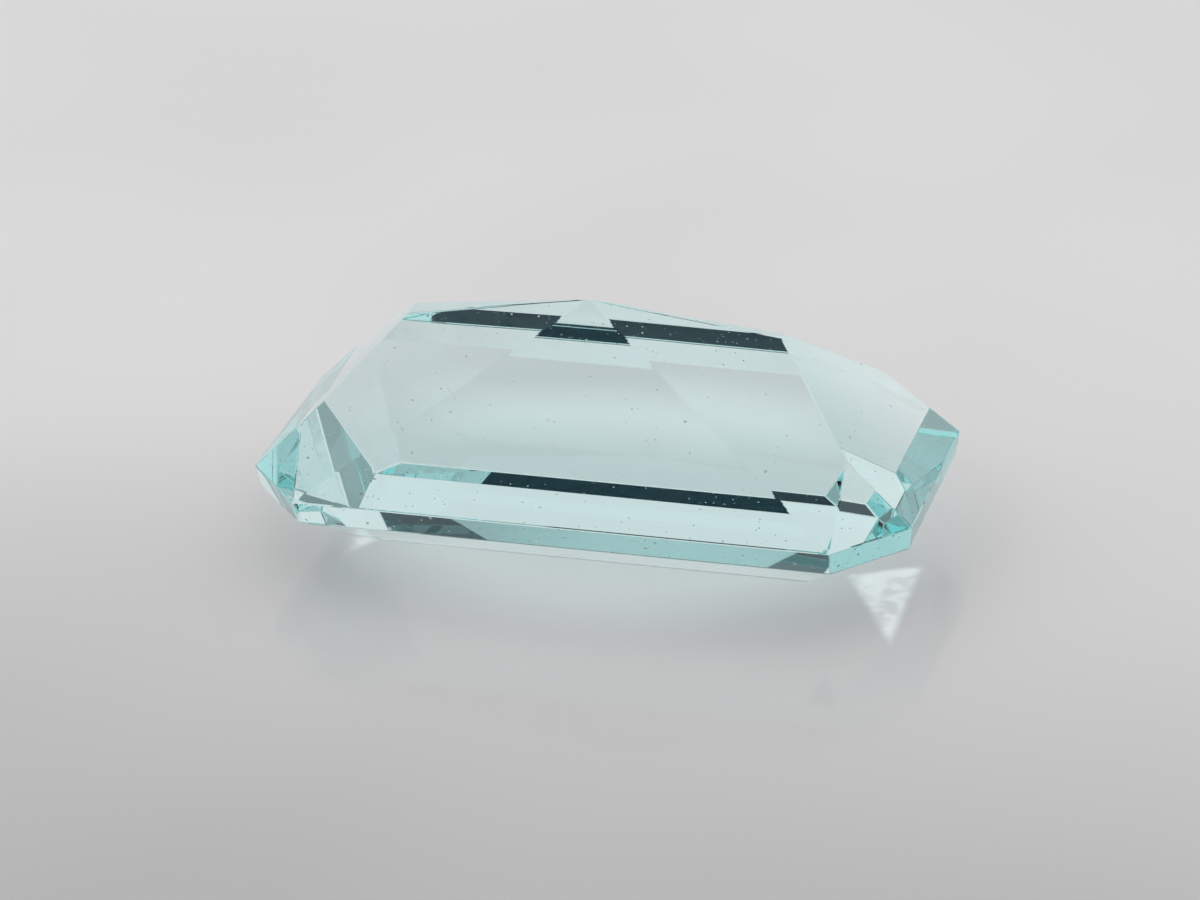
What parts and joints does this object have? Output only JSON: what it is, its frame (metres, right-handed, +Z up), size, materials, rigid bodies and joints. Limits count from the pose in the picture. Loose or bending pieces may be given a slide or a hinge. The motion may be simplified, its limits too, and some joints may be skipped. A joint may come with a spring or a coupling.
{
  "type": "faceted beryl gemstone",
  "caption": "Clear pale blue-green beryl cut as a long faceted stone with cut corners, polished all over, lying on its table with the pointed back up.",
  "frame": {"origin": "middle of the table, the large flat facet that the stone lies on", "axes": "+X along the length, +Y across the width, +Z up from the table to the point on the back"},
  "size_m": [0.011, 0.0052, 0.0043],
  "materials": {
    "aqua_beryl": "polished, transparent, pale blue-green"
  },
  "bodies": {
    "root": {"beryl_stone": "aqua_beryl"}
  },
  "joints": []
}
